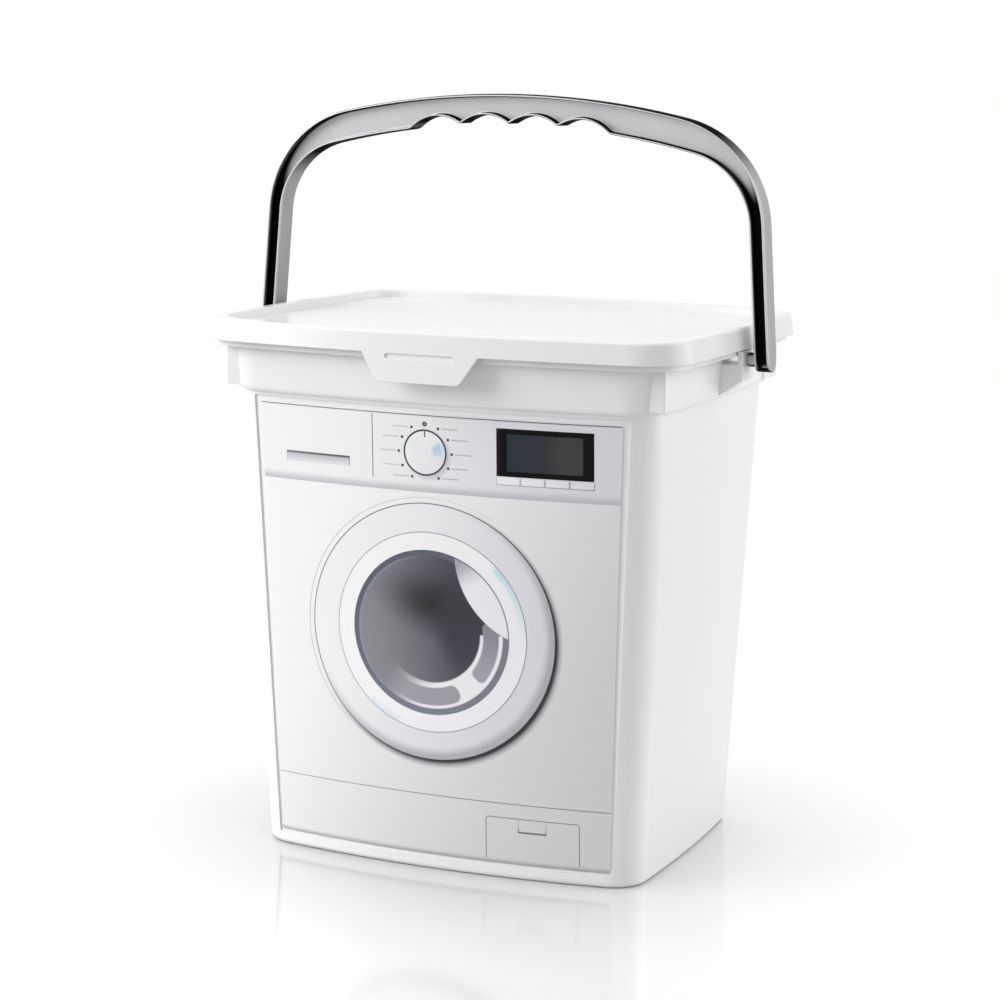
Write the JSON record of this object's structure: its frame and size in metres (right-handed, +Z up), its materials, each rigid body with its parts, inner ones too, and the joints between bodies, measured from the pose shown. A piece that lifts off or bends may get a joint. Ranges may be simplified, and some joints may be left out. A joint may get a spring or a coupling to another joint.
{
  "type": "detergent box",
  "caption": "Tapered rectangular washing powder box with a push-on lid, a swing-over grooved carrying handle and a printed washing machine front.",
  "frame": {"origin": "middle of the base, on the plane that the box stands on", "axes": "+Z up, -Y out of the printed front, +X to the right of somebody who faces the front; the handle turns about an axis along X"},
  "size_m": [0.247, 0.2015, 0.338],
  "materials": {
    "tub_plastic": "gloss",
    "lid_plastic": "gloss",
    "handle_plastic": "gloss",
    "label_film": "gloss",
    "print_pale_grey": "gloss",
    "print_line_grey": "gloss",
    "print_mid_grey": "gloss",
    "print_dark_grey": "gloss",
    "print_white": "gloss",
    "print_black": "gloss",
    "print_screen_grey": "gloss",
    "print_shadow_grey": "gloss",
    "print_silver_grey": "gloss",
    "print_slate_grey": "gloss"
  },
  "bodies": {
    "tub": {"tub": "tub_plastic", "front_label": "label_film", "print_strip_shade": "print_pale_grey", "print_plinth_shade": "print_mid_grey", "print_lines": "print_line_grey", "print_drawer": "print_pale_grey", "print_dial_ring": "print_dark_grey", "print_dial_face": "print_white", "print_dial_marks": "print_dark_grey", "print_display_frame": "print_black", "print_display_screen": "print_screen_grey", "print_buttons": "print_white", "print_door_shadow": "print_shadow_grey", "print_door_edge": "print_black", "print_door_ring": "print_silver_grey", "print_door_bezel": "print_white", "print_door_lens": "print_white", "print_door_glow": "print_white", "print_door_drum": "print_black", "print_door_glass": "print_slate_grey"},
    "lid": {"lid": "lid_plastic"},
    "handle": {"handle": "handle_plastic"}
  },
  "joints": [
    {"name": "handle_swing", "type": "hinge", "parent": "tub", "child": "handle", "pos_m": [0, 0, 0.2257], "axis": [1, 0, 0], "range_deg": [-72.5, 72.5]},
    {"name": "lid_lift", "type": "slide", "parent": "tub", "child": "lid", "axis": [0, 0, 1], "range_m": [0, 0.046]}
  ]
}
